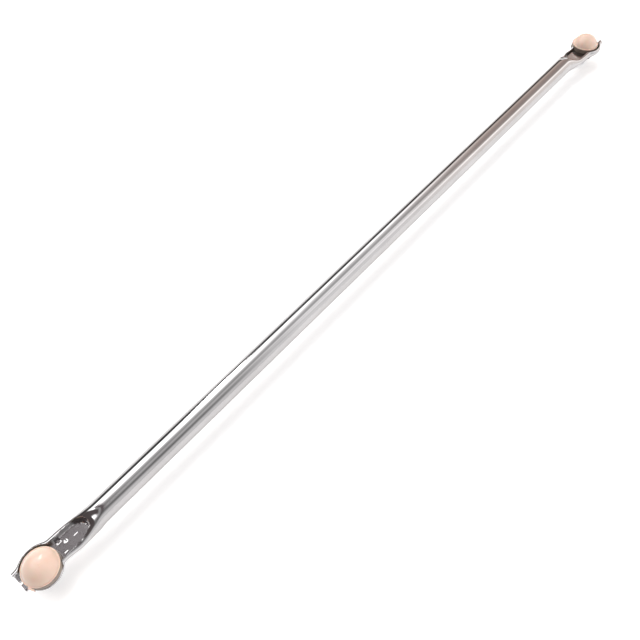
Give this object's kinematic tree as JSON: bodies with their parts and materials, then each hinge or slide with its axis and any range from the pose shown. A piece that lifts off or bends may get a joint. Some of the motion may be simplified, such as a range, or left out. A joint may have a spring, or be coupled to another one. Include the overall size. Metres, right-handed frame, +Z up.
{
  "type": "ball socket link rod",
  "caption": "Round steel tube pressed flat at both ends, each eye holding a domed moulded ball socket with a captive ball pin that swivels and tilts.",
  "frame": {"origin": "bottom centre of the whole part's box: midway between the two sockets, on the plane of the pins' lower ends", "axes": "+X along the rod from the near socket to the far one, +Z up through the sockets' domes, +Y to the left of +X"},
  "size_m": [0.5054, 0.0232, 0.0217],
  "materials": {
    "zinc_plated_tube": "bright zinc plating, drawn tube, mirror-like with faint draw lines",
    "moulded_socket": "glossy peach acetal, slightly translucent",
    "seat_ring": "brown-grey rubber, satin",
    "dust_rubber": "black rubber, matt",
    "ball_pin_steel": "turned and polished steel"
  },
  "bodies": {
    "rod": {"rod_tube": "zinc_plated_tube", "socket_housing_near": "moulded_socket", "seat_ring_near": "seat_ring", "socket_housing_far": "moulded_socket", "seat_ring_far": "seat_ring"},
    "near_seal": {"dust_ring_near": "dust_rubber"},
    "near_pin": {"ball_pin_near": "ball_pin_steel"},
    "far_seal": {"dust_ring_far": "dust_rubber"},
    "far_pin": {"ball_pin_far": "ball_pin_steel"}
  },
  "joints": [
    {"name": "near_swivel", "type": "hinge", "parent": "rod", "child": "near_seal", "pos_m": [-0.242, 0, 0.0127], "axis": [0, 0, 1], "continuous": true},
    {"name": "near_tilt", "type": "hinge", "parent": "near_seal", "child": "near_pin", "pos_m": [-0.242, 0, 0.0127], "axis": [0, 1, 0], "range_deg": [-12, 12]},
    {"name": "far_swivel", "type": "hinge", "parent": "rod", "child": "far_seal", "pos_m": [0.242, 0, 0.0127], "axis": [0, 0, 1], "continuous": true},
    {"name": "far_tilt", "type": "hinge", "parent": "far_seal", "child": "far_pin", "pos_m": [0.242, 0, 0.0127], "axis": [0, 1, 0], "range_deg": [-12, 12]}
  ]
}
